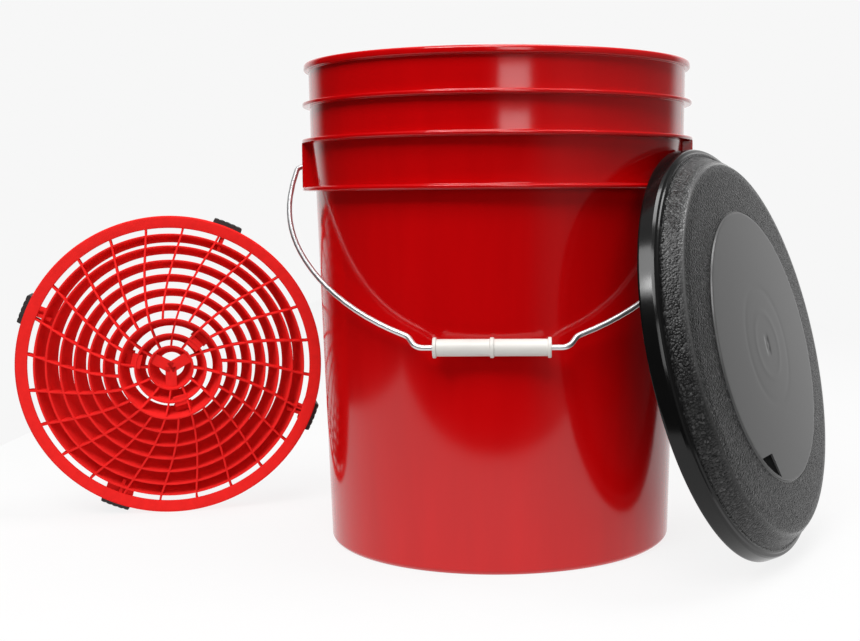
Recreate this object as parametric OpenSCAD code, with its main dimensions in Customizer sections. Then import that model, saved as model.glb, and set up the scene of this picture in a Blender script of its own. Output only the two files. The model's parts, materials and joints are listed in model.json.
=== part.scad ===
// Wash bucket set: moulded pail, wire bail with a hand grip, snap lid leaning on the pail,
// and the domed dirt trap that sits in the pail's bottom, standing beside it.
// Origin: centre of the pail's resting face. +Z up, -Y front, the bail's ear axis along X.

/* [Pail] */
// Height of the pail
pail_h = 370; // [360:1:380]
// Outer radius of the wall just above the foot rounding
foot_r = 134; // [130:0.5:136]
// Outer radius of the wall under the lowest rib
shoulder_r = 142.1; // [140:0.1:143]
// Outer radius of the rolled rim
rim_r = 150; // [149:0.1:151]
// Wall thickness
wall = 2.3; // [2:0.1:2.8]
// Height of the recess under the floor
floor_rise = 6; // [4:0.5:8]

/* [Bail] */
// Diameter of the wire
wire_d = 4; // [3.6:0.1:4.2]
// Height of the ear holes
pivot_z = 293; // [290:0.5:296]
// Angle of the hanging bail, forward from straight down
hang = 48.7; // [48.5:0.1:52]
// Length of the hand grip
grip_len = 82; // [70:1:90]
// Outer diameter of the hand grip
grip_d = 12; // [11:0.5:13]

/* [Lid] */
// Outer radius of the lid's free edge
lid_r = 155; // [154:0.5:156]
// Lean of the lid from upright
lid_lean = 13.8; // [13:0.1:15]
// Direction that the lid faces, turned from +X
lid_turn = -26.6; // [-27:0.1:-26]
// Centre of the lid's free edge, seen from above
lid_x = 173.6; // [173:0.1:178]
lid_y = -64.1; // [-68:0.1:-63]

/* [Dirt trap] */
// Outer radius of the trap's rim
trap_r = 127; // [126:0.5:128]
// Height of the trap's rim above the pail's floor when it is in use
trap_leg = 62; // [55:1:65]
// Height of the dome's crest above the rim
crest = 26; // [20:1:28]
// Centre of the standing trap, seen from above
trap_x = -281; // [-300:1:-280]
trap_y = 60; // [50:1:80]
// Turn of the trap's face towards the front right
trap_turn = 14; // [10:1:18]

/* [Hidden] */
$fn = 96;

red = [0.78, 0.02, 0.02];
bright_red = [0.92, 0.12, 0.12];
black = [0.13, 0.13, 0.13];

// Pail: heights and radii of the four ribs round the outside
rib_4 = [273.3, 276.2, 152.5];
rib_3 = [309.8, 312.5, 152.3];
rib_2 = [337.5, 340.2, 151.5];
neck_r = 142.3;
band_r = 145.5;
top_r = 146.4;
bead_h = 5.5;
floor_t = 2.6;
foot_round = 5;
foot_ring = 4.5;
under_rib = 3;

// Ears: a plate on the ribs' circle, with a hollow behind it for the wire's head
ear_half = 25;
ear_plate = 2.2;
hole_clear = 0.05;
head_r = 3.4;
head_t = 2;

wire_r = wire_d / 2;
ear_out = rib_4[2];
ear_in = ear_out - ear_plate;

// Steps of half of the bail, from its head outwards: [0, length] is straight,
// [radius, angle] turns left and [radius, -angle] turns right
pin_start = ear_in - 3;
wire_steps = [[0, 152.6 - pin_start], [6, 83.8], [225, 8], [150, 24.7], [190, 36.2],
              [9, -33.7], [0, 4.3], [9, 61]];

// Turn made by one step, and the way it moves along and across the first heading
function turn(s) = s[0] == 0 ? 0 : s[1];
function step_move(s, h) = s[0] == 0 ? s[1] * [cos(h), sin(h)] :
    sign(s[1]) * s[0] * [sin(h + s[1]) - sin(h), cos(h) - cos(h + s[1])];
// Heading and place at the start of step i
function heading(i) = i == 0 ? 0 : heading(i - 1) + turn(wire_steps[i - 1]);
function corner(i) = i == 0 ? [pin_start, 0] : corner(i - 1) + step_move(wire_steps[i - 1], heading(i - 1));
steps_n = len(wire_steps);
grip_x = corner(steps_n)[0];
grip_drop = corner(steps_n)[1];
// Rings along the bent wire as [place, heading], run 1 mm into the straight ends
bend_sides = 12;
bend_rings = concat([[corner(1) - [1, 0], 0]],
    [for (i = [1 : steps_n - 1]) let (s = wire_steps[i], n = max(1, ceil(abs(turn(s)) / 6)))
        for (k = [i == 1 ? 0 : 1 : n]) let (part = [s[0], s[1] * k / n])
            [corner(i) + step_move(part, heading(i)), heading(i) + turn(part)]],
    [[corner(steps_n) - [1, 0], 180]]);
grip_bore = wire_r + 0.05;

// Lid: wall, the step heights above its free edge, and the seal's seat
lid_wall = 2.2;
skirt_h = 10.6;
lid_top = 31;
lid_disc_r = 100.4;
// Pry notch in the disc: its outer radius, the angles that it spans, its inner corner, its floor
notch_r = 98.7;
notch_span = [-41.5, -19.5];
notch_corner = [74, -43.5];
notch_z = 29;
seat_in = 144.4;
seat_out = 150.6;
seal_t = 1.8;
plug_r = 143.4;
plug_t = 1.8;

// Dirt trap: ring radii as shares of the rim, each a cone that narrows underneath
ring_shares = [0.15, 0.235, 0.336, 0.433, 0.529, 0.622, 0.714, 0.807, 0.885];
rim_in = 0.92;
rim_t = 2.2;
skirt_deep = 20;
ring_deep = 25;
ring_lean = 15;
ring_t = 1.8;
rib_n = 24;
rib_t = 1.8;
rib_deep = 12;
rib_sink = 0.4;
rib_start = 8.8;
hub_h = 10;
hub_z = 16;
// Pads over the second ring: angle, radial reach and half width, top and thickness
pad_angles = [45, 166, 286];
pad_high = [25, 33, 6, 20.8, 5.8];
pad_low = [32, 38, 7.5, 14.5, 5];
crest_share = ring_shares[2];
swirl = 9;
leg_angles = [23, 113, 203, 293];
leg_w = 24;
rubber_out = 131.2;
rubber_w = 25;

// Height of the dome above the rim's face at a radius
function dome(r) = let (s = r / trap_r)
    s > rim_in ? 0 :
    s > crest_share ? crest * (rim_in - s) / (rim_in - crest_share) :
    hub_h + (crest - hub_h) * s / crest_share;

module ring(r_out, r_in, h) {
    difference() {
        cylinder(r = r_out, h = h);
        translate([0, 0, -1]) cylinder(r = r_in, h = h + 2);
    }
}

module pail_outside() {
    rotate_extrude() polygon(concat(
        [[0, 0]],
        [for (a = [-90 : 15 : 0]) [foot_r - foot_round + foot_round * cos(a),
                                   foot_round + foot_round * sin(a)]],
        [[shoulder_r, rib_4[0]], [rib_4[2] - 0.3, rib_4[0]], [rib_4[2], rib_4[0] + 0.4],
         [rib_4[2], rib_4[1]], [neck_r, rib_4[1]],
         [band_r, rib_3[0]], [rib_3[2], rib_3[0]], [rib_3[2], rib_3[1]], [band_r + 0.1, rib_3[1]],
         [top_r - 0.5, rib_2[0]], [rib_2[2], rib_2[0]], [rib_2[2], rib_2[1]], [top_r - 0.3, rib_2[1]],
         [top_r, pail_h - bead_h], [rim_r, pail_h - bead_h], [rim_r, pail_h - 1.5],
         [rim_r - 1.5, pail_h], [0, pail_h]]));
}

module pail_inside() {
    floor_z = floor_rise + floor_t;
    rotate_extrude() polygon([
        [0, floor_z], [foot_r - wall - 4, floor_z], [foot_r - wall - 1.2, floor_z + 1.2],
        [foot_r - wall, floor_z + 4],
        [shoulder_r - wall, rib_4[0]], [neck_r - wall, rib_4[1]], [band_r - wall, rib_3[0]],
        [top_r - wall, pail_h - bead_h], [top_r - wall, pail_h - 1], [top_r - wall + 1, pail_h],
        [top_r - wall + 1, pail_h + 1], [0, pail_h + 1]]);
}

module ear() {
    intersection() {
        translate([neck_r - 8, -ear_half, rib_4[1] - 1])
            cube([ear_out, 2 * ear_half, rib_3[0] - rib_4[1] + 2]);
        cylinder(r = ear_out, h = pail_h);
    }
}

module ear_hollow() {
    difference() {
        intersection() {
            translate([neck_r - 8, -ear_half + ear_plate, rib_4[1]])
                cube([ear_out, 2 * (ear_half - ear_plate), rib_3[0] - rib_4[1]]);
            cylinder(r = ear_in, h = pail_h);
        }
        translate([0, 0, rib_4[1]]) cylinder(r1 = neck_r, r2 = band_r, h = rib_3[0] - rib_4[1]);
    }
    translate([neck_r + 3, -11, rib_4[0] - 1]) cube([4.4, 22, 6]);
    translate([neck_r + 3, 0, pivot_z]) rotate([0, 90, 0]) cylinder(r = wire_r + hole_clear, h = 12);
}

module pail() color(red) {
    difference() {
        union() {
            pail_outside();
            ear();
            mirror([1, 0, 0]) ear();
        }
        pail_inside();
        ear_hollow();
        mirror([1, 0, 0]) ear_hollow();
        // recess under the floor, with crossed stiffening ribs left standing
        difference() {
            translate([0, 0, -1]) cylinder(r = foot_r - foot_round - foot_ring, h = floor_rise + 1);
            for (a = [0, 90]) rotate([0, 0, a])
                translate([-foot_r, -under_rib / 2, -2]) cube([2 * foot_r, under_rib, floor_rise + 4]);
        }
    }
}

// One side's bent wire, swept along its rings
module wire_bend(r) {
    rings = len(bend_rings);
    polyhedron(
        [for (g = bend_rings) for (k = [0 : bend_sides - 1]) let (a = k * 360 / bend_sides)
            [g[0][0] - sin(g[1]) * r * cos(a), g[0][1] + cos(g[1]) * r * cos(a), r * sin(a)]],
        concat([[for (k = [0 : bend_sides - 1]) k]],
            [for (i = [0 : rings - 2]) for (k = [0 : bend_sides - 1])
                let (m = (k + 1) % bend_sides, j = i * bend_sides)
                    [j + k, j + k + bend_sides, j + m + bend_sides, j + m]],
            [[for (k = [bend_sides - 1 : -1 : 0]) (rings - 1) * bend_sides + k]]));
}

module hang_bail() {
    translate([0, 0, pivot_z]) rotate([270 - hang, 0, 0]) children();
}

module bail_wire() color([0.8, 0.8, 0.8]) hang_bail() {
    for (m = [0, 1]) mirror([m, 0, 0]) {
        wire_bend(wire_r - 0.02);
        translate([pin_start, 0, 0]) rotate([0, 90, 0]) {
            cylinder(r = wire_r, h = corner(1)[0] - pin_start);
            cylinder(r = head_r, h = head_t);
        }
    }
    translate([-grip_x, grip_drop, 0]) rotate([0, 90, 0]) cylinder(r = wire_r, h = 2 * grip_x);
}

module bail_grip() color([0.93, 0.92, 0.92]) hang_bail() {
    translate([-grip_len / 2, grip_drop, 0]) rotate([0, 90, 0]) difference() {
        union() {
            cylinder(r = grip_d / 2, h = grip_len);
            for (z = [0, grip_len - 2.4]) translate([0, 0, z]) cylinder(r = 7.2, h = 2.4);
            translate([0, 0, grip_len / 2 - 1.5]) cylinder(r = 7.15, h = 3);
        }
        translate([0, 0, -1]) cylinder(r = grip_bore, h = grip_len + 2);
    }
}

module lean_lid() {
    translate([lid_x, lid_y, lid_r * cos(lid_lean)])
        rotate([0, 90 - lid_lean, lid_turn]) children();
}

module lid_body() {
    rotate_extrude() polygon([
        // outside, from the free edge up over the ledge and the plateau
        [lid_r - lid_wall, 0], [lid_r, 0], [lid_r, 1.5], [lid_r - 1.6, skirt_h - 1],
        [lid_r - 2.6, skirt_h + 1], [lid_r - 5, skirt_h + 2], [147.4, skirt_h + 2.6],
        [145.6, skirt_h + 4.4], [141.4, 22.2], [138.8, 25.4], [135, 27.2],
        [lid_disc_r + 1.4, 29.3], [lid_disc_r + 0.6, 28.8], [lid_disc_r, 29.3],
        [lid_disc_r - 0.6, 30.2], [lid_disc_r - 4, 30.5], [0, lid_top],
        // underside, from the middle down past the plug ring to the seal's seat
        [0, lid_top - lid_wall], [lid_disc_r, 30.5 - lid_wall - 0.8], [134, 27.2 - lid_wall],
        [137.4, 23.6], [plug_r - plug_t - 0.6, skirt_h + 2], [plug_r - plug_t, 4],
        [plug_r - 0.4, 4], [plug_r, 5], [plug_r, skirt_h - 0.2], [seat_out + 0.4, skirt_h - 0.2],
        [lid_r - lid_wall - 1.4, skirt_h - 3]]);
}

module lid_shell() color(black) lean_lid() difference() {
    lid_body();
    translate([0, 0, notch_z]) linear_extrude(lid_top) polygon(concat([notch_corner],
        [for (k = [0 : 8]) let (a = notch_span[0] + (notch_span[1] - notch_span[0]) * k / 8)
            notch_r * [cos(a), sin(a)]]));
}

module lid_gasket() color([0.4, 0.4, 0.4]) lean_lid() {
    translate([0, 0, skirt_h - 0.2 - seal_t]) ring(seat_out, seat_in, seal_t);
}

module stand_trap() {
    translate([trap_x, trap_y, trap_r]) rotate([0, 0, trap_turn]) rotate([90, 0, 0]) children();
}

// Each ring is a cone of even thickness, deeper rings sit lower down the dome
module trap_ring(share) {
    r = share * trap_r;
    z = dome(r);
    drift = ring_deep * tan(ring_lean);
    rotate_extrude() polygon([[r - ring_t, z], [r, z], [r - drift, z - ring_deep],
                              [r - drift - ring_t, z - ring_deep]]);
}

// Straight stretch of a rib between two radii, following the dome's slope
module trap_rib(r_a, r_b, turn_a, turn_b) {
    a = [r_a * cos(turn_a), r_a * sin(turn_a)];
    b = [r_b * cos(turn_b), r_b * sin(turn_b)];
    run = norm(b - a);
    fall = dome(r_b) - dome(r_a);
    translate([a[0], a[1], dome(r_a) - rib_sink])
        rotate([0, 0, atan2(b[1] - a[1], b[0] - a[0])])
            rotate([90, 0, 0]) translate([0, 0, -rib_t / 2])
                linear_extrude(rib_t) polygon([[0, 0], [run, fall],
                                               [run, fall - rib_deep], [0, -rib_deep]]);
}

module trap_leg(angle) {
    rotate([0, 0, 90 - angle]) {
        intersection() {
            translate([0, 0, -trap_leg]) ring(trap_r - 0.4, trap_r - 3.4, trap_leg - skirt_deep + 1);
            translate([trap_r - 10, -leg_w / 2, -trap_leg - 1]) cube([20, leg_w, trap_leg]);
        }
        translate([trap_r - 22, -1.5, -trap_leg + 1]) cube([20.5, 3, trap_leg - 2]);
    }
}

module trap_grid() color(bright_red) stand_trap() {
    rim_r_in = rim_in * trap_r;
    rotate_extrude() polygon([[rim_r_in, -rim_t], [rim_r_in, 0], [trap_r - 1, 0], [trap_r, -1],
                              [trap_r, -skirt_deep], [trap_r - 2.4, -skirt_deep], [trap_r - 2.4, -rim_t]]);
    for (share = ring_shares) trap_ring(share);
    for (i = [0 : rib_n - 1]) {
        turn_i = i * 360 / rib_n + rib_start;
        trap_rib(crest_share * trap_r - ring_t / 2, (rim_in + 0.03) * trap_r, turn_i + swirl, turn_i);
        if (i % 2 == 0)
            trap_rib(ring_shares[0] * trap_r - ring_t / 2, crest_share * trap_r - ring_t / 3,
                     turn_i + 2 * swirl, turn_i + swirl);
    }
    for (a = [30, 150, 270]) rotate([0, 0, a])
        translate([-2, -5, hub_z - 3]) cube([ring_shares[0] * trap_r + 1, 10, 3]);
    for (a = pad_angles, p = [pad_high, pad_low]) rotate([0, 0, a])
        translate([p[0], -p[2], p[3] - p[4]]) cube([p[1] - p[0], 2 * p[2], p[4]]);
    for (angle = leg_angles) trap_leg(angle);
}

module trap_rubber(angle) color([0.1, 0.1, 0.1]) stand_trap() rotate([0, 0, 90 - angle])
    intersection() {
        translate([0, 0, -38]) ring(rubber_out, trap_r, 32);
        translate([trap_r - 10, -rubber_w / 2, -40]) cube([20, rubber_w, 40]);
    }

module trap_rubber_1() trap_rubber(leg_angles[0]);
module trap_rubber_2() trap_rubber(leg_angles[1]);
module trap_rubber_3() trap_rubber(leg_angles[2]);
module trap_rubber_4() trap_rubber(leg_angles[3]);

pail();
bail_wire();
bail_grip();
lid_shell();
lid_gasket();
trap_grid();
trap_rubber_1();
trap_rubber_2();
trap_rubber_3();
trap_rubber_4();
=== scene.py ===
# %% [markdown]
# # A wash bucket set
# A pail, its wire bail with a turning grip, a snap lid and a domed dirt trap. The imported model
# is the frame: it says where everything is, and this lesson only makes the surfaces and their
# finishes. Every shape is worked out as arrays of points, because a moulded or turned part is
# a simple formula of two numbers, and that stays exact and easy to change.

# %% Load the frame
import json
import math
import bpy
import bmesh
import numpy as np
from mathutils import Euler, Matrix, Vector


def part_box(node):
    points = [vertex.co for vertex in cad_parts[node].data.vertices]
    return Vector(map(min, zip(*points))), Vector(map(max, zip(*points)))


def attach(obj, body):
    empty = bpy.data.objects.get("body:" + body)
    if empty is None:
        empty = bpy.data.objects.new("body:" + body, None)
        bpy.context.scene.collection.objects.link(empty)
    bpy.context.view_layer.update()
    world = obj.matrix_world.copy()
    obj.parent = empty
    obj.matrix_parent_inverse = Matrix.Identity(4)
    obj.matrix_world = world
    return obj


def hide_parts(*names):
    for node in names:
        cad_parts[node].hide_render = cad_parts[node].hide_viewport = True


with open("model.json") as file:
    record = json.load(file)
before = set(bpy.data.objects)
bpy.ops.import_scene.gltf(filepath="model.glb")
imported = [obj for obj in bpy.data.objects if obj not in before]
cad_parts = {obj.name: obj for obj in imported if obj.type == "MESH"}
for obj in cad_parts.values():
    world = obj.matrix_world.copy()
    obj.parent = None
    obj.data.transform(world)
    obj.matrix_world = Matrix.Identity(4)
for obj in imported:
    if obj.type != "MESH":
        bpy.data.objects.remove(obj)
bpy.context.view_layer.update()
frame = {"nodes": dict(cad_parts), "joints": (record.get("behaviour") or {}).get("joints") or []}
MM = 0.001
joints = {j["name"]: j for j in frame["joints"]}

# %% [markdown]
# ## The mesh helpers
# A surface here is a grid of points. Where a direction runs back into itself, as round a pail,
# the grid wraps; where it shrinks to a point, as at the middle of a lid, the doubled points are
# merged into one. Normals are then made to face outwards. Writing the grid once keeps each
# piece down to its own formula.

# %% Grids, solids and smooth shading
MERGE_M = 2e-6
BROKEN_EDGE = 0.35


def grid_faces(rows, cols, wrap_rows, wrap_cols, start=0):
    """Quads between neighbours on a rows by cols grid of points, as index array."""
    index = start + np.arange(rows * cols).reshape(rows, cols)
    if wrap_rows:
        index = np.vstack([index, index[:1]])
    if wrap_cols:
        index = np.hstack([index, index[:, :1]])
    quads = [index[:-1, :-1], index[1:, :-1], index[1:, 1:], index[:-1, 1:]]
    return np.stack(quads, axis=-1).reshape(-1, 4)


def solid(name, grids, smooth_angle=35.0):
    """One object from (points, wrap_rows, wrap_cols) grids in mm, doubles merged, faces out."""
    points, faces, start = [], [], 0
    for shape, wrap_rows, wrap_cols in grids:
        rows, cols = shape.shape[:2]
        points.append(shape.reshape(-1, 3) * MM)
        faces.append(grid_faces(rows, cols, wrap_rows, wrap_cols, start))
        start += rows * cols
    mesh = bpy.data.meshes.new(name)
    mesh.from_pydata(np.vstack(points).tolist(), [], np.vstack(faces).tolist())
    work = bmesh.new()
    work.from_mesh(mesh)
    bmesh.ops.remove_doubles(work, verts=work.verts, dist=MERGE_M)
    bmesh.ops.dissolve_degenerate(work, edges=work.edges, dist=1e-7)
    bmesh.ops.recalc_face_normals(work, faces=work.faces)
    work.to_mesh(mesh)
    work.free()
    piece = bpy.data.objects.new(name, mesh)
    bpy.context.scene.collection.objects.link(piece)
    mesh.shade_smooth()
    mesh.set_sharp_from_angle(angle=math.radians(smooth_angle))
    return piece


def rounded(corners, steps=5):
    """An outline of (x, y, radius) corners with each corner replaced by an arc of its radius."""
    pts = np.array([c[:2] for c in corners], float)
    out = []
    for i, corner in enumerate(corners):
        radius = corner[2] if len(corner) > 2 else 0
        if radius == 0:
            out.append(pts[i][None])
            continue
        before, after = pts[i - 1] - pts[i], pts[(i + 1) % len(pts)] - pts[i]
        reach_a, reach_b = np.linalg.norm(before), np.linalg.norm(after)
        before, after = before / reach_a, after / reach_b
        half = math.acos(np.clip(before @ after, -1, 1)) / 2
        cut = min(radius / math.tan(half), 0.48 * reach_a, 0.48 * reach_b)
        t = np.linspace(0, 1, steps + 1)[:, None]
        a, b = pts[i] + before * cut, pts[i] + after * cut
        out.append((1 - t) ** 2 * a + 2 * t * (1 - t) * pts[i] + t ** 2 * b)
    return np.vstack(out)


def revolve(outline, turns, arc=None):
    """Turns a profile of (radius, height) about Z: point = (r cos a, r sin a, z)."""
    angle = np.linspace(0, 2 * np.pi, turns, endpoint=False) if arc is None else arc
    r, z = outline[:, 0][:, None], outline[:, 1][:, None]
    return np.stack([r * np.cos(angle), r * np.sin(angle), z + 0 * angle], axis=-1)


def block(r_a, r_b, angle, half_w, low, high, curved=True):
    """A block between two radii and two heights, square to its radius, edges just broken."""
    loop = rounded([(r_a, -half_w, 0.4), (r_b, -half_w, 0.6), (r_b, half_w, 0.6),
                    (r_a, half_w, 0.4)], 3)
    if curved:
        a, r = loop[:, 1] / loop[:, 0], loop[:, 0]
        loop = np.stack([r * np.cos(a), r * np.sin(a)], axis=-1)
    c, s = np.cos(angle), np.sin(angle)
    loop = np.stack([loop[:, 0] * c - loop[:, 1] * s, loop[:, 0] * s + loop[:, 1] * c], axis=-1)
    centre = loop.mean(axis=0)
    reach = np.linalg.norm(loop - centre, axis=1)[:, None]
    inset = 1 - BROKEN_EDGE / reach
    levels = [(low, 0), (low, inset), (low + BROKEN_EDGE, 1), (high - BROKEN_EDGE, 1),
              (high, inset), (high, 0)]
    rings = [np.column_stack([centre + (loop - centre) * k, np.full(len(loop), z)])
             for z, k in levels]
    return np.stack(rings)


print("a 2 by 3 grid, wrapped both ways, has", len(grid_faces(2, 3, True, True)), "faces")

# %% [markdown]
# ## Finishes
# Moulded plastic is a clear glossy skin over one colour, so its look comes from reflections:
# a little roughness, a faint waviness from the mould, and fine rubbing marks. Each finish is a
# small tree of noise nodes read in object coordinates, so it stays with the piece as it moves.

# %% A finish builder
def finish(name, colour, roughness, noise_scale, noise_depth, *, tint=0.06, streak=(1, 1, 1),
           rough_spread=0.08, metallic=0.0, bump_distance=0.001, specular=0.5):
    """Principled finish: noise varies the colour by tint, roughness by rough_spread, and bump."""
    material = bpy.data.materials.new(name)
    material.use_nodes = True
    nodes, links = material.node_tree.nodes, material.node_tree.links
    shader = nodes["Principled BSDF"]
    shader.inputs["Metallic"].default_value = metallic
    shader.inputs["Specular IOR Level"].default_value = specular
    place = nodes.new("ShaderNodeTexCoord")
    stretch = nodes.new("ShaderNodeMapping")
    stretch.inputs["Scale"].default_value = streak
    links.new(place.outputs["Object"], stretch.inputs["Vector"])
    noise = nodes.new("ShaderNodeTexNoise")
    noise.inputs["Scale"].default_value = noise_scale
    noise.inputs["Detail"].default_value = 4
    links.new(stretch.outputs["Vector"], noise.inputs["Vector"])
    shade = nodes.new("ShaderNodeValToRGB")
    shade.color_ramp.elements[0].position = 0.3
    shade.color_ramp.elements[1].position = 0.7
    shade.color_ramp.elements[0].color = [c * (1 - tint) for c in colour] + [1]
    shade.color_ramp.elements[1].color = [min(1, c * (1 + tint)) for c in colour] + [1]
    links.new(noise.outputs["Fac"], shade.inputs["Fac"])
    links.new(shade.outputs["Color"], shader.inputs["Base Color"])
    spread = nodes.new("ShaderNodeMapRange")
    spread.inputs["To Min"].default_value = max(0.02, roughness - rough_spread)
    spread.inputs["To Max"].default_value = roughness + rough_spread
    links.new(noise.outputs["Fac"], spread.inputs["Value"])
    links.new(spread.outputs["Result"], shader.inputs["Roughness"])
    bump = nodes.new("ShaderNodeBump")
    bump.inputs["Strength"].default_value = noise_depth
    bump.inputs["Distance"].default_value = bump_distance
    links.new(noise.outputs["Fac"], bump.inputs["Height"])
    links.new(bump.outputs["Normal"], shader.inputs["Normal"])
    print("finish:", name)
    return material


def wear(piece, material, body, slot, *nodes):
    """Sets the piece's finish and body and hides the CAD nodes it stands for; slot is not used."""
    piece.data.materials.clear()
    piece.data.materials.append(material)
    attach(piece, body)
    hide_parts(*nodes)
    print(piece.name, "faces:", len(piece.data.polygons))


# %% [markdown]
# ## The camera
# The set is looked at from the front, a little above the pail's middle, with a moderately long
# lens. The camera turns a degree or two to the left and down, and a small sideways shift keeps
# the uprights upright while the pail stands right of centre.

# %% Camera
LEVEL = math.radians(90)
camera_data = bpy.data.cameras.new("camera")
camera_data.sensor_width = 36
camera_data.lens = 55.67
camera_data.shift_x = -0.0791
camera_data.shift_y = -0.0013
camera_data.clip_end = 30
camera = bpy.data.objects.new("camera", camera_data)
camera.location = (0.0328, -1.0560, 0.2659)
camera_turn = math.radians(1.8)
camera_dip = 0.09
camera_roll = -0.0072
aim = (Euler((0, 0, camera_turn)).to_matrix() @ Euler((LEVEL - camera_dip, 0, 0)).to_matrix()
       @ Euler((0, 0, camera_roll)).to_matrix())
camera.rotation_euler = aim.to_euler()
bpy.context.scene.collection.objects.link(camera)
bpy.context.scene.camera = camera
print("camera at", camera.location[:], "lens", camera_data.lens)

# %% [markdown]
# ## Floor and light
# A pale sheet on the floor runs back to a white backdrop, and the room in front of the set is
# dark, as in a product studio. Glossy plastic shows what is round it: the dark room keeps the
# red deep, the backdrop draws a pale line down each side, and the sheet's front edge gives the
# lighter patch low on the pail. To the camera the surround is one even pale tone.

# %% Surround
scene = bpy.context.scene
scene.view_settings.view_transform = "Standard"
world = bpy.data.worlds.new("surround")
world.use_nodes = True
scene.world = world
sky, wires = world.node_tree.nodes, world.node_tree.links
direction = sky.new("ShaderNodeTexCoord")
split = sky.new("ShaderNodeSeparateXYZ")
wires.new(direction.outputs["Generated"], split.inputs["Vector"])
PALE = 0.93
DARK_ROOM = 0.015
room = None
for component, low, high, bright in (("Y", 0.6, 0.82, 1.05), ("X", 0.25, 0.7, 0.16),
                                     ("Z", 0.6, 0.95, 0.5)):
    climb = sky.new("ShaderNodeMapRange")
    climb.interpolation_type = "SMOOTHSTEP"
    for socket, value in (("From Min", low), ("From Max", high), ("To Max", bright)):
        climb.inputs[socket].default_value = value
    wires.new(split.outputs[component], climb.inputs["Value"])
    add = sky.new("ShaderNodeMath")
    add.inputs[1].default_value = DARK_ROOM
    if room is not None:
        wires.new(room, add.inputs[1])
    wires.new(climb.outputs["Result"], add.inputs[0])
    room = add.outputs["Value"]
path = sky.new("ShaderNodeLightPath")
seen = sky.new("ShaderNodeMix")
seen.inputs["B"].default_value = PALE
wires.new(path.outputs["Is Camera Ray"], seen.inputs["Factor"])
wires.new(room, seen.inputs["A"])
wires.new(seen.outputs["Result"], sky["Background"].inputs["Strength"])
sky["Background"].inputs["Color"].default_value = (1, 1, 1, 1)
print("surround nodes:", len(sky))

# %% [markdown]
# ### The sheet and the lamps
# The sheet glows a little, so that it stays as pale as the backdrop and shadows on it are faint.
# Overhead light models the rims, a small lamp up on the left catches the lid's skirt, and a
# tall box just right of the camera makes the upright streak on the pail.

# %% Sheet and lamps
SHEET_LEFT, SHEET_RIGHT, SHEET_FRONT, SHEET_BACK = -0.56, 0.62, -0.38, 3.0
floor_mesh = bpy.data.meshes.new("floor")
floor_mesh.from_pydata([(SHEET_LEFT, SHEET_FRONT, 0), (SHEET_RIGHT, SHEET_FRONT, 0),
                        (SHEET_RIGHT, SHEET_BACK, 0), (SHEET_LEFT, SHEET_BACK, 0)],
                       [], [(0, 1, 2, 3)])
floor = bpy.data.objects.new("floor", floor_mesh)
scene.collection.objects.link(floor)
paper = finish("floor_paper", (0.1, 0.1, 0.1), 0.9, 30, 0.01, tint=0.01, specular=0)
glow = paper.node_tree.nodes["Principled BSDF"]
glow.inputs["Emission Color"].default_value = (1, 1, 1, 1)
glow.inputs["Emission Strength"].default_value = 0.85
floor_mesh.materials.append(paper)


def soft_box(name, place, target, size, watts):
    """An area light at place, facing target, of (width, height) metres."""
    data = bpy.data.lights.new(name, "AREA")
    data.shape = "RECTANGLE"
    data.size, data.size_y = size
    data.energy = watts
    lamp = bpy.data.objects.new(name, data)
    lamp.location = place
    towards = (np.array(target) - np.array(place)).tolist()
    lamp.rotation_euler = Vector(towards).to_track_quat("-Z", "Y").to_euler()
    scene.collection.objects.link(lamp)


soft_box("overhead_front", (-0.5, -1.5, 2.2), (0, 0, 0.1), (1.8, 1.3), 55)
soft_box("overhead", (0.45, 0.0, 2.1), (0.45, 0.01, 0), (1.2, 0.8), 26)
soft_box("skirt_key", (-0.66, -1.15, 1.4), (0.05, -0.1, 0.2), (0.2, 0.2), 2.4)
soft_box("streak", (0.41, -2.0, 0.8), (0, -0.15, 0.35), (0.62, 0.8), 6)

# %% [markdown]
# ## The pail
# An injection moulded tub: a thin tapered wall, three ribs that stiffen the mouth, a
# rolled rim, and a floor raised on a foot ring. It could be a stack of cylinders, but one
# profile turned once about the axis gives the rounded edges that catch the light.

# %% Pail sizes, mm
PIVOT_Z = joints["bail_swing"]["pos_m"][2] / MM
RIM_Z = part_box("pail")[1][2] / MM
RIB_OUT = 152.5
FOOT_IN = 124.5
EAR_PLATE = 2.2
EAR_LOW, EAR_HIGH = 276.2, 309.8
PAIL_TURNS = 256

pail_profile = rounded([
    (0, 8.6), (124, 8.6), (131.7, 8.6, 5), (139.8, 273.3), (140.0, 276.2), (143.2, 309.8),
    (144.1, 364.5), (144.1, RIM_Z, 1.6), (RIB_OUT - 2.5, RIM_Z, 2.6), (RIB_OUT - 2.5, 364.5, 1.6),
    (146.4, 364.5, 0.8),
    (146.1, 340.2, 1.2), (151.5, 340.2, 1.0), (151.5, 337.5, 1.2), (145.9, 337.5, 0.6),
    (145.6, 312.5, 1.2), (152.3, 312.5, 1.1), (152.3, 309.8, 1.3), (145.5, 309.8, 0.6),
    (142.3, 276.2, 1.2), (RIB_OUT, 276.2, 1.1), (RIB_OUT, 273.3, 1.4), (142.1, 273.3, 0.6),
    (134.0, 2.5, 4.6), (131.0, 0, 1.2), (FOOT_IN, 0, 1.2), (FOOT_IN, 6.0, 0.8), (0, 6.0)])
print("pail profile:", len(pail_profile), "points, rim at", round(RIM_Z, 1), "mm")

# %% [markdown]
# ### The ears
# Each ear is a curved plate standing on the ribs' circle, with two cheeks back to the wall and
# a hole for the wire. The plate is a grid from the hole's circle out to its rectangle, bent
# round the pail. It is doubled inwards to give its thickness, so the hole is a real one. The
# crossed ribs under the floor are plain blocks, added to the same piece.

# %% Ears
EAR_HALF = 25.0
HOLE_R = 2.05
RIB_HALF = 1.5


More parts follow.
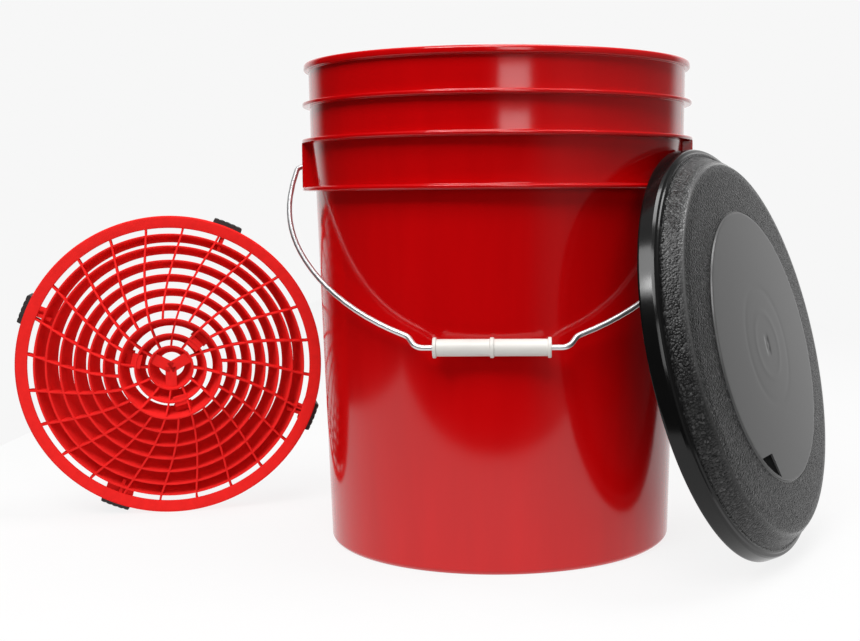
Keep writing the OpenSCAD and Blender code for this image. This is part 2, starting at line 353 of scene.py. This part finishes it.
def ear_plate(side):
    """Plate from hole to outline: a mix of circle and rectangle at angle a, bent round R."""
    a = np.linspace(0, 2 * np.pi, 96, endpoint=False)
    z_mid, z_half = (EAR_LOW + EAR_HIGH) / 2, (EAR_HIGH - EAR_LOW) / 2 + 0.5
    reach = 1 / np.maximum(np.abs(np.cos(a)) / EAR_HALF, np.abs(np.sin(a)) / z_half)
    hole = np.stack([HOLE_R * np.cos(a), PIVOT_Z + HOLE_R * np.sin(a)])
    edge = np.stack([reach * np.cos(a), z_mid + reach * np.sin(a)])
    t = np.array([0, 0.02, 0.12, 0.3, 0.5, 0.7, 0.85, 0.97, 1])[:, None, None]
    face = hole + (edge - hole) * t
    depth = np.where(np.isin(np.arange(len(t)), [0, len(t) - 1]), BROKEN_EDGE, 0.0)
    layers = []
    for radius, order in ((RIB_OUT, 1), (RIB_OUT - EAR_PLATE, -1)):
        inset = radius - order * depth[:, None]
        bend = face[:, 0] / radius
        layer = np.stack([side * inset * np.cos(bend), inset * np.sin(bend), face[:, 1]], axis=-1)
        layers.append(layer[::order])
    return np.concatenate(layers)


def ear_cheek(side, y_out, y_in):
    """An upright wall from the pail, which leans, to the plate: x = sqrt(radius^2 - y^2)."""
    rings = []
    for z, wall_r in ((EAR_LOW - 0.6, 141.4), (EAR_HIGH + 0.6, 144.6)):
        corners = [(math.sqrt(r ** 2 - y ** 2), y, fillet) for r, y, fillet in (
            (wall_r, y_out, 0), (RIB_OUT - 0.1, y_out, 0.5), (RIB_OUT - 0.4, y_in, 0),
            (wall_r, y_in, 0))]
        loop = rounded(corners) * [side, 1]
        loop = np.column_stack([loop, np.full(len(loop), z)])
        middle = np.broadcast_to(loop.mean(axis=0), loop.shape)
        rings += [middle, loop] if z < PIVOT_Z else [loop, middle]
    return np.stack(rings)


pail_grids = [(revolve(pail_profile, PAIL_TURNS), False, True)]
for side in (1, -1):
    pail_grids.append((ear_plate(side), True, True))
    for y in (1, -1):
        pail_grids.append((ear_cheek(side, y * EAR_HALF, y * (EAR_HALF - EAR_PLATE)), False, True))

# under the floor, crossed ribs reach down to the foot ring's level
foot_rib = FOOT_IN + 0.1
for start, turn in ((-foot_rib, 0), (RIB_HALF - 0.3, np.pi / 2), (RIB_HALF - 0.3, -np.pi / 2)):
    pail_grids.append((block(start, foot_rib, turn, RIB_HALF, 0, 6.4, False), False, True))
pail = solid("pail_moulding", pail_grids)
print("the pail is made of", len(pail_grids), "closed grids")

# %% [markdown]
# ### Red plastic
# Polyethylene pails come out of the mould glossy, with faint drag lines up the wall and a
# slight waviness. One noise, stretched upright, does both: it varies the gloss a little and
# bends the reflections.

# %% Pail finish
red_plastic = finish("pail_red", (0.56, 0.001, 0.002), 0.13, 55, 0.03, tint=0.04,
                     streak=(1, 1, 0.12), rough_spread=0.04, bump_distance=0.0006)
wear(pail, red_plastic, "pail", "pail_plastic", "pail")

# %% [markdown]
# ## The bail
# The wire is bent in one plane: a pin into each ear, a long sweep round the pail, and a kink
# either side of the grip. It is written the way a wire bender works, as a list of straight
# lengths and bends, and a circle of points is carried along that path.

# %% Wire path
HANG = math.radians(48.7)
WIRE_R = 2.0
PIN_START = RIB_OUT - EAR_PLATE - 3
WIRE_STEPS = [(0, 152.6 - PIN_START), (6, 83.8), (225, 8), (150, 24.7), (190, 36.2),
              (9, -33.7), (0, 4.3), (9, 61)]


def wire_path():
    """Points and headings along half of the wire: lines, then arcs left or right of the path."""
    place, heading, rows = np.array([PIN_START, 0.0]), 0.0, [(PIN_START, 0.0, 0.0)]
    for radius, amount in WIRE_STEPS:
        if radius == 0:
            place = place + amount * np.array([np.cos(heading), np.sin(heading)])
            rows.append((*place, heading))
            continue
        side, turn = np.sign(amount), math.radians(amount)
        t = heading + turn * np.linspace(0, 1, max(3, int(abs(amount) / 3)))[1:]
        x = place[0] + side * radius * (np.sin(t) - np.sin(heading))
        y = place[1] + side * radius * (np.cos(heading) - np.cos(t))
        rows += list(zip(x, y, t))
        place, heading = np.array([x[-1], y[-1]]), heading + turn
    return np.array(rows)


half_path = wire_path()
GRIP_DROP = half_path[-1, 1]
other_half = half_path[::-1] * [-1, 1, -1] + [0, 0, 2 * np.pi]
wire_line = np.vstack([half_path, other_half])
print("grip hangs", round(GRIP_DROP, 1), "mm from the ears' axis")


def hang(points):
    """Turns the bail's flat plane (x, drop, out) to hang forward from the ears' axis."""
    x, drop, out = points[..., 0], points[..., 1], points[..., 2]
    y = -drop * math.sin(HANG) - out * math.cos(HANG)
    z = PIVOT_Z - drop * math.cos(HANG) + out * math.sin(HANG)
    return np.stack([x, y, z], axis=-1)


def wire_tube(line, radii, sides=20):
    """A circle of the given radius carried along the line, square to its heading."""
    a = np.linspace(0, 2 * np.pi, sides, endpoint=False)
    nx, ny = -np.sin(line[:, 2])[:, None], np.cos(line[:, 2])[:, None]
    r = np.asarray(radii)[:, None]
    return np.stack([line[:, 0][:, None] + nx * r * np.cos(a),
                     line[:, 1][:, None] + ny * r * np.cos(a), r * np.sin(a)], axis=-1)


# the upset head on each end is a short run of wider rings before the pin
HEAD_R, HEAD_T = 3.4, 2.0
head_at = np.array([0, 0, 0.3, HEAD_T - 0.3, HEAD_T, HEAD_T])
head_r = np.array([0, HEAD_R - 0.4, HEAD_R, HEAD_R, HEAD_R - 0.4, WIRE_R])
head = np.stack([PIN_START + head_at, 0 * head_at, 0 * head_at], axis=-1)
tail = head[::-1] * [-1, 1, 1] + [0, 0, 2 * np.pi]
line = np.vstack([head, wire_line[1:-1], tail])
radii = np.concatenate([head_r, np.full(len(wire_line) - 2, WIRE_R), head_r[::-1]])
bail = solid("bail_bent_wire", [(hang(wire_tube(line, radii)), False, True)], 60)
bail_steel = finish("bail_galvanised", (0.80, 0.81, 0.82), 0.42, 60, 0.02, tint=0.08,
                    metallic=1.0, rough_spread=0.06, bump_distance=0.0003)
wear(bail, bail_steel, "bail", "bail_steel", "bail_wire")

# %% [markdown]
# ## The grip
# A short plastic tube, threaded on the wire before the last bend is made. It has a lip at each
# end and a ring at the middle where the two halves of the mould meet, and a fine seam along it.

# %% Grip
GRIP_HALF = 41.0
grip_half = [(2.05, -GRIP_HALF, 0.3), (7.2, -GRIP_HALF, 0.7), (7.2, -GRIP_HALF + 2.4, 0.6),
             (6.0, -GRIP_HALF + 2.6, 0.5), (6.0, -1.6, 0.5), (7.15, -1.2, 0.6), (7.15, 1.2, 0.6),
             (6.0, 1.6, 0.5), (6.0, GRIP_HALF - 2.6, 0.5), (7.2, GRIP_HALF - 2.4, 0.6),
             (7.2, GRIP_HALF, 0.7), (2.05, GRIP_HALF, 0.3)]
grip_turned = revolve(rounded(grip_half), 96)
seam = np.exp(-((np.abs(np.sin(np.linspace(0, 2 * np.pi, 96, endpoint=False))) / 0.09) ** 2))
outer_rows = (np.hypot(grip_turned[..., 0], grip_turned[..., 1]) > 5)[..., None]
grip_turned[..., :2] *= 1 + 0.03 * seam[:, None] * outer_rows
grip_points = np.stack([grip_turned[..., 2], GRIP_DROP + grip_turned[..., 0],
                        grip_turned[..., 1]], axis=-1)
grip = solid("grip_tube", [(hang(grip_points), True, True)])
grip_white = finish("grip_white", (0.76, 0.74, 0.70), 0.38, 160, 0.08, tint=0.03,
                    streak=(0.3, 1, 1), bump_distance=0.0004)
wear(grip, grip_white, "grip", "grip_plastic", "bail_grip")

# %% [markdown]
# ## The lid
# A snap lid leaning on the pail. From its free edge the skirt rises to a narrow ledge, then a
# step climbs to a broad pebbled plateau with a smooth disc in the middle. Underneath, a plug
# ring goes inside the pail's mouth, and the seal sits between it and the skirt.

# %% Lid sizes and pose
LID_R = 155.0
LID_LEAN = math.radians(13.8)
LID_TURN = math.radians(-26.6)
LID_FOOT = (173.6, -64.1, LID_R * math.cos(LID_LEAN))
LID_AXIS = np.array([math.cos(LID_LEAN) * math.cos(LID_TURN),
                     math.cos(LID_LEAN) * math.sin(LID_TURN), math.sin(LID_LEAN)])
DISC_R = 100.4


def lean(points):
    """Stands the lid up: its axis tips to LID_LEAN above level, then turns to LID_TURN."""
    x, y, z = points[..., 0], points[..., 1], points[..., 2]
    tip = math.pi / 2 - LID_LEAN
    flat = x * math.cos(tip) + z * math.sin(tip)
    up = -x * math.sin(tip) + z * math.cos(tip)
    c, s = math.cos(LID_TURN), math.sin(LID_TURN)
    return np.stack([flat * c - y * s, flat * s + y * c, up], axis=-1) + np.array(LID_FOOT)


# from the middle of the disc out to the free edge, then back underneath to the middle
disc_r = np.linspace(0, DISC_R - 1.2, 68)
lid_disc = np.stack([disc_r, 31 - 0.7 * (disc_r / DISC_R) ** 2], axis=-1)
lid_bend = rounded([
    tuple(lid_disc[-1]), (DISC_R - 0.3, 30.2, 0.4), (DISC_R + 0.1, 29.0, 0.2),
    (DISC_R + 0.7, 28.8, 0.3), (DISC_R + 1.5, 29.3, 0.3), (131, 27.4, 1), (137.8, 26.2, 4),
    (141.4, 22.2, 1.8), (145.6, 15, 0.8), (147.2, 13.3, 0.5), (147.7, 13.7, 0.3),
    (149.6, 13.1, 0.4), (150.4, 12.1, 0.4), (152.4, 11.6, 0.8), (153.4, 9.6, 0.6), (155, 1.6, 0.4),
    (155, 0, 0.9), (152.8, 0, 0.7), (151.4, 7.6, 0.6), (151.2, 10.4, 0.8), (143.4, 10.4, 0.3),
    (143.4, 5, 0.3), (143, 4, 0.4), (141.6, 4, 0.4), (141, 12.6, 0.8), (137.4, 23.6, 1.5),
    (134, 25, 1.5), (100, 27.4)], 4)
lid_profile = np.vstack([lid_disc, lid_bend[1:], [(60, 28.37), (0, 28.8)]])
print("lid profile:", len(lid_profile), "points,", round(2 * LID_R), "mm across")

# %% [markdown]
# ### Moulding marks on the disc
# The disc carries what the mould leaves: two faint rings and the small oval scar of the gate at
# the centre, as heights added along the lid's axis to the same grid. The sharp-cornered pry
# notch at its lower edge would need a much finer grid, so it is cut out as a wedge.

# %% Marks
LID_TURNS = 360
NOTCH_R, NOTCH_CORNER, NOTCH_SPAN = 98.7, (74, -43.5), (-41.5, -19.5)
NOTCH_FLOOR, NOTCH_TOP = 29.0, 34.0

lid_points = revolve(lid_profile, LID_TURNS)
disc = lid_points[:len(disc_r)]
disc_radius = np.hypot(disc[..., 0], disc[..., 1])
for ring_r, height in ((24, 0.08), (43, -0.07)):
    disc[..., 2] += height * np.exp(-((disc_radius - ring_r) / 2.6) ** 2)
gate = np.exp(-((disc[..., 0] / 6.0) ** 4 + (disc[..., 1] / 3.6) ** 4))
disc[..., 2] -= 0.5 * gate * (1 - 0.9 * np.exp(-(disc_radius / 2.2) ** 2))
lid = solid("lid_moulding", [(lean(lid_points), False, True)])

# the notch is a wedge between the disc's edge and one inner corner
notch_turn = np.radians(np.linspace(*NOTCH_SPAN, 9))
notch_arc = NOTCH_R * np.column_stack([np.cos(notch_turn), np.sin(notch_turn)])
notch_loop = np.vstack([[NOTCH_CORNER], notch_arc])
notch_mid = np.broadcast_to(notch_loop.mean(axis=0), notch_loop.shape)
notch_rings = np.stack([notch_mid, notch_loop, notch_loop, notch_mid])
notch_levels = np.array([NOTCH_FLOOR, NOTCH_FLOOR, NOTCH_TOP, NOTCH_TOP])[:, None]
notch_levels = notch_levels * np.ones(len(notch_loop))
cutter = solid("notch", [(lean(np.dstack([notch_rings, notch_levels])), False, True)])
cut = lid.modifiers.new("cut", "BOOLEAN")
cut.operation, cut.solver, cut.object = "DIFFERENCE", "EXACT", cutter
whole = lid.data
notched = lid.evaluated_get(bpy.context.evaluated_depsgraph_get())
lid.data = bpy.data.meshes.new_from_object(notched)
lid.modifiers.clear()
for spare in (whole, cutter.data):
    bpy.data.meshes.remove(spare)
lid.data.name = "lid_moulding"
lid.data.set_sharp_from_angle(angle=math.radians(35))
print("lid points after the notch:", len(lid.data.vertices))

# %% [markdown]
# ### Black lid plastic
# The plateau is pebbled by a spark-eroded mould, the disc is satin and the skirt is glossy. Three
# numbers stored on every point of the mesh, how pebbled it is, how much painted sheen it gets and
# how rough it is, are worked out from the distance to the lid's axis, and one material reads them
# all. The disc's paler grey is painted sheen that stands in for its satin reflection. Handling
# wears the plateau's outer corner, so the grain fades there, and a painted highlight makes the
# corner paler on its upward-facing side.

# %% Lid layers
def rows_of(items, what):
    """One attribute of every vertex or face of a mesh, as rows of three numbers."""
    out = np.empty((len(items), 3), np.float32)
    items.foreach_get(what, out.ravel())
    return out


def from_lid(points):
    """Height along the lid's axis and distance from it, in mm: dot product and what is left."""
    from_foot = points / MM - np.array(LID_FOOT)
    height = from_foot @ LID_AXIS
    return height, np.linalg.norm(from_foot - height[:, None] * LID_AXIS, axis=1)


along, from_axis = from_lid(rows_of(lid.data.vertices, "co"))
facing = rows_of(lid.data.vertices, "normal")
outside = (facing @ LID_AXIS > 0.02).astype(float)
pebble = np.clip((from_axis - DISC_R - 1.0) / 0.5, 0, 1) * outside
pebble *= np.clip((along - 13.2) / 0.5, 0, 1)
corner = np.exp(-((from_axis - 137.9) / 1.2) ** 2) * outside
pebble *= 1 - 0.85 * corner
on_disc = (from_axis < DISC_R + 0.5) * outside
# painted highlight: the plateau's rounded corner is painted paler, most on its upward-facing side
painted_highlight = 1.3 * corner * np.clip(facing[:, 2] + 0.2, 0.2, 0.8)
# the disc's 0.8 share is painted sheen, a paler grey standing in for its satin reflection
for layer_name, values in (("pebble", pebble), ("satin", 0.8 * on_disc + painted_highlight),
                           ("rough", 0.15 + 0.13 * on_disc + 0.2 * pebble)):
    stored = lid.data.attributes.new(layer_name, "FLOAT", "POINT")
    stored.data.foreach_set("value", values.astype(np.float32))
print("pebbled share of the lid:", round(float(pebble.mean()), 2))

# %% [markdown]
# ### The grain
# Real grain is thousands of small rounded bumps, too fine to model. A Voronoi pattern gives them:
# its distance to each cell's middle drives the bump, and its random value for each cell picks
# out the few paler ones. The stored layers switch both off on the disc and the skirt. The painted
# sheen layer adds a painted paler grey on the disc and a painted highlight on the worn corner.

# %% Lid finish
def pebbled_black():
    """Black plastic: a few rounded grains are paler; disc and corner get painted sheen."""
    material = finish("lid_black", (0.004, 0.004, 0.004), 0.3, 90, 0.05, tint=0.1,
                      specular=0.3)
    nodes, links = material.node_tree.nodes, material.node_tree.links
    nodes.remove(nodes["Map Range"])
    shader, coords, bump = (nodes[n] for n in ("Principled BSDF", "Texture Coordinate", "Bump"))
    pebbles, satin, rough = (nodes.new("ShaderNodeAttribute") for _ in range(3))
    pebbles.attribute_name, satin.attribute_name, rough.attribute_name = "pebble", "satin", "rough"
    grain = nodes.new("ShaderNodeTexVoronoi")
    grain.inputs["Scale"].default_value = 620
    links.new(coords.outputs["Object"], grain.inputs["Vector"])
    height = nodes.new("ShaderNodeMath")
    height.operation = "MULTIPLY"
    links.new(grain.outputs["Distance"], height.inputs[0])
    links.new(pebbles.outputs["Fac"], height.inputs[1])
    bump.invert = True
    bump.inputs["Strength"].default_value = 1.0
    bump.inputs["Distance"].default_value = 0.0006
    links.new(height.outputs["Value"], bump.inputs["Height"])
    # paler grey for random grain specks, and painted sheen on the disc and corner from the layer
    specks_and_sheen = nodes.new("ShaderNodeMix")
    specks_and_sheen.data_type = "RGBA"
    specks_and_sheen.inputs["B"].default_value = (0.11, 0.11, 0.11, 1)
    links.new(nodes["Color Ramp"].outputs["Color"], specks_and_sheen.inputs["A"])
    few = nodes.new("ShaderNodeMath")
    few.operation = "POWER"
    few.inputs[1].default_value = 5
    links.new(grain.outputs["Color"], few.inputs[0])
    shade = nodes.new("ShaderNodeMath")
    shade.operation = "MULTIPLY_ADD"
    links.new(few.outputs["Value"], shade.inputs[0])
    links.new(pebbles.outputs["Fac"], shade.inputs[1])
    links.new(satin.outputs["Fac"], shade.inputs[2])
    links.new(shade.outputs["Value"], specks_and_sheen.inputs["Factor"])
    links.new(specks_and_sheen.outputs["Result"], shader.inputs["Base Color"])
    links.new(rough.outputs["Fac"], shader.inputs["Roughness"])
    return material


wear(lid, pebbled_black(), "lid", "lid_plastic", "lid_shell")
# the notch floor gets a black, dull finish of its own: painted shade for the recess's shadow
lid.data.materials.append(finish("lid_notch_painted_shade", (0.004, 0.004, 0.004), 0.9, 90, 0.05,
                                 tint=0.1, specular=0.05))
level, reach = from_lid(rows_of(lid.data.polygons, "center"))
in_notch = (np.abs(level - NOTCH_FLOOR) < 0.02) & (reach > 70) & (reach < DISC_R - 2)
lid.data.polygons.foreach_set("material_index", in_notch.astype(np.int32))
print("faces in the notch:", int(in_notch.sum()))
gasket = frame["nodes"]["lid_gasket"]
gasket.data.materials.clear()
gasket.data.materials.append(finish("gasket_grey", (0.16, 0.16, 0.16), 0.75, 900, 0.4,
                                    tint=0.25, bump_distance=0.0005))

# %% [markdown]
# ## The dirt trap
# A domed grid that sits in the pail's bottom and keeps grit down. Nine cone-shaped rings are
# crossed by curved ribs, inside a flat rim with a skirt. Four legs hold it up, each with a
# ribbed rubber block that grips the pail's wall. It is drawn lying flat and then stood up.

# %% Trap sizes and pose
TRAP_R = 127.0
TRAP_X, TRAP_Y = -281.0, 60.0
TRAP_TURN = math.radians(14)
CREST, HUB_H = 26.0, 10.0
RING_SHARES = np.array([0.15, 0.235, 0.336, 0.433, 0.529, 0.622, 0.714, 0.807, 0.885])
RIM_IN = 0.92
CREST_SHARE = RING_SHARES[2]
RING_DEEP, RING_T, RIB_T = 25.0, 1.8, 1.7
RING_LEAN = math.radians(15)
RIM_T, SKIRT_T, SKIRT_DEEP = 2.2, 2.4, 20.0
LEG_DEEP = 62.0
LEG_ANGLES = np.radians([23, 113, 203, 293])


def stand(points):
    """Stands the trap on its rim: its up becomes front, then it turns towards the front right."""
    x, y, z = points[..., 0], points[..., 1], points[..., 2]
    c, s = math.cos(TRAP_TURN), math.sin(TRAP_TURN)
    return np.stack([TRAP_X + x * c + z * s, TRAP_Y + x * s - z * c, TRAP_R + y], axis=-1)


def dome(r):
    """Height of the dome at radius r: up from the rim to the crest, then down to the hub."""
    share = np.asarray(r) / TRAP_R
    rise = CREST * (RIM_IN - share) / (RIM_IN - CREST_SHARE)
    dip = HUB_H + (CREST - HUB_H) * share / CREST_SHARE
    blend = 1 / (1 + np.exp(-(share - CREST_SHARE) / 0.03))
    return np.clip(rise * blend + dip * (1 - blend), 0, CREST)


print("dome heights at rim, crest and hub, mm:", dome(TRAP_R * np.array([RIM_IN, CREST_SHARE, 0])))

# %% [markdown]
# ### Rings, rim and skirt
# The rings are parts of cones rather than upright walls, so that grit slides off them and the
# mould opens. Each is a small four-cornered profile turned once about the axis, and the flat rim
# with its skirt is one more profile, bent like an angle bar.

# %% Rings, rim and skirt
def trap_ring(share):
    """A ring of even thickness whose wall leans in by RING_LEAN as it goes down."""
    r, z = share * TRAP_R, float(dome(share * TRAP_R))
    drift = RING_DEEP * math.tan(RING_LEAN)
    outline = rounded([(r - RING_T, z, 0.5), (r, z, 0.5), (r - drift, z - RING_DEEP, 0.3),
                       (r - drift - RING_T, z - RING_DEEP, 0.3)], 3)
    return revolve(outline, 144)


rim_outline = rounded([
    (RIM_IN * TRAP_R, -RIM_T, 0.4), (RIM_IN * TRAP_R, 0, 0.7), (TRAP_R, 0, 1.6),
    (TRAP_R, -SKIRT_DEEP, 0.5), (TRAP_R - SKIRT_T, -SKIRT_DEEP, 0.5),
    (TRAP_R - SKIRT_T, -RIM_T, 0.4)], 4)
trap_grids = [(revolve(rim_outline, 192), True, True)]
trap_grids += [(trap_ring(share), True, True) for share in RING_SHARES]
print("rings:", len(RING_SHARES))

# %% [markdown]
# ### Ribs
# Each rib is a thin upright blade that swirls as it goes in. Its centre line is a spiral: the
# angle grows as the radius shrinks. Every other rib stops at the crest, and the rest run on
# to the innermost ring.

# %% Ribs
RIB_COUNT = 24
RIB_START = math.radians(8.8)
SWIRL = math.radians(24)
RIB_DEEP, RIB_SINK = 12.0, 0.3


def trap_rib(start_angle, r_in, r_out):
    """A blade along a spiral: angle = start + swirl * share turned in, top on the dome."""
    r = np.linspace(r_out, r_in, 22)
    turned = np.clip((RIM_IN * TRAP_R - r) / (RIM_IN * TRAP_R), 0, 1)
    angle = start_angle + SWIRL * turned ** 1.3
    line = np.stack([r * np.cos(angle), r * np.sin(angle)], axis=-1)
    along = np.gradient(line, axis=0)
    along /= np.linalg.norm(along, axis=1)[:, None]
    across = np.stack([-along[:, 1], along[:, 0]], axis=-1)
    half = RIB_T / 2
    shape = np.array([(-half, -RIB_DEEP), (-half, -0.5), (-half + 0.4, 0), (half - 0.4, 0),
                      (half, -0.5), (half, -RIB_DEEP)])
    flat = line[:, None] + across[:, None] * shape[None, :, :1]
    top = (dome(r) - RIB_SINK)[:, None] + shape[None, :, 1]
    blade = np.dstack([flat, top])
    ends = [np.repeat(blade[i].mean(axis=0)[None], len(shape), axis=0)[None] for i in (0, -1)]
    return np.concatenate([ends[0], blade, ends[1]])


for i in range(RIB_COUNT):
    inner = RING_SHARES[0] if i % 2 == 0 else CREST_SHARE
    trap_grids.append((trap_rib(2 * math.pi * i / RIB_COUNT + RIB_START, inner * TRAP_R - 0.9,
                                (RIM_IN + 0.03) * TRAP_R), False, True))
print("ribs:", RIB_COUNT)

# %% [markdown]
# ### Hub, pads and legs
# The hub is a small three-armed star that closes the middle. Three solid pads sit over the second
# ring, where the mould feeds the plastic in, each with a deeper one outside it. The legs are
# short curved walls with a fin inside. All of these are simple blocks, square to a radius.

# %% Blocks
HUB_ANGLES, PAD_ANGLES = np.radians([30, 150, 270]), np.radians([45, 166, 286])
for a in HUB_ANGLES:
    trap_grids.append((block(-1.0, RING_SHARES[0] * TRAP_R - 0.6, a, 4.6, 11.5, 15.5, False),
                       False, True))
for a in PAD_ANGLES:
    trap_grids.append((block(25, 33, a, 6.0, 15, 20.8), False, True))
    trap_grids.append((block(32, 38, a, 7.5, 9.5, 14.5), False, True))
for a in math.pi / 2 - LEG_ANGLES:
    trap_grids.append((block(TRAP_R - 3.4, TRAP_R - 0.4, a, 12, -LEG_DEEP, -19), False, True))
    trap_grids.append((block(TRAP_R - 22, TRAP_R - 2, a, RIB_HALF, -LEG_DEEP + 1, -1.6, False),
                       False, True))
trap = solid("trap_moulding", [(stand(shape), rows, cols) for shape, rows, cols in trap_grids])
trap_red = finish("trap_red", (0.80, 0.022, 0.020), 0.45, 140, 0.06, tint=0.06,
                  rough_spread=0.06, bump_distance=0.0005, specular=0)
wear(trap, trap_red, "trap", "trap_plastic", "trap_grid")

# %% [markdown]
# ### Rubber blocks
# Each block is gripped by a leg and stands a few millimetres proud, with cross ridges that
# bite on the pail's wall. The ridges are a wave in the block's outer radius.

# %% Rubber
RUBBER_HALF, RUBBER_LOW, RUBBER_HIGH = 12.4, -38.0, -6.0
RUBBER_R, RIDGES, RIDGE_DEEP = 130.4, 5, 0.55


def rubber_block(angle):
    """A curved block whose outer radius ripples across its width: five rounded ridges."""
    width = np.linspace(-RUBBER_HALF, RUBBER_HALF, 61)
    ripple = RIDGE_DEEP * np.abs(np.cos(width / (2 * RUBBER_HALF) * np.pi * RIDGES)) ** 0.6
    ends = np.clip((RUBBER_HALF - np.abs(width)) / 0.8, 0, 1) ** 0.5
    inner = np.full_like(width, TRAP_R)
    outer = inner + 0.6 + (RUBBER_R + ripple - inner - 0.6) * ends
    a = width / TRAP_R
    rows = [(inner, RUBBER_LOW), (outer - 0.5, RUBBER_LOW), (outer, RUBBER_LOW + 0.6),
            (outer, RUBBER_HIGH - 0.6), (outer - 0.5, RUBBER_HIGH), (inner, RUBBER_HIGH)]
    shape = np.stack([np.stack([r * np.cos(a), r * np.sin(a), np.full_like(r, z)], axis=-1)
                      for r, z in rows])
    centre = shape[:, [0, -1]].mean(axis=0)
    shape = np.concatenate([np.broadcast_to(centre[0], shape[:, :1].shape), shape,
                            np.broadcast_to(centre[1], shape[:, :1].shape)], axis=1)
    turn = math.pi / 2 - angle
    c, s = math.cos(turn), math.sin(turn)
    x, y = shape[..., 0] * c - shape[..., 1] * s, shape[..., 0] * s + shape[..., 1] * c
    return np.stack([x, y, shape[..., 2]], axis=-1)


black_rubber = finish("trap_rubber_black", (0.018, 0.018, 0.018), 0.62, 700, 0.3, tint=0.2,
                      bump_distance=0.0004)
for number, angle in enumerate(LEG_ANGLES, 1):
    rubber = solid(f"rubber_grip_{number}", [(stand(rubber_block(angle)), True, False)], 50)
    wear(rubber, black_rubber, "trap", "trap_rubber", f"trap_rubber_{number}")
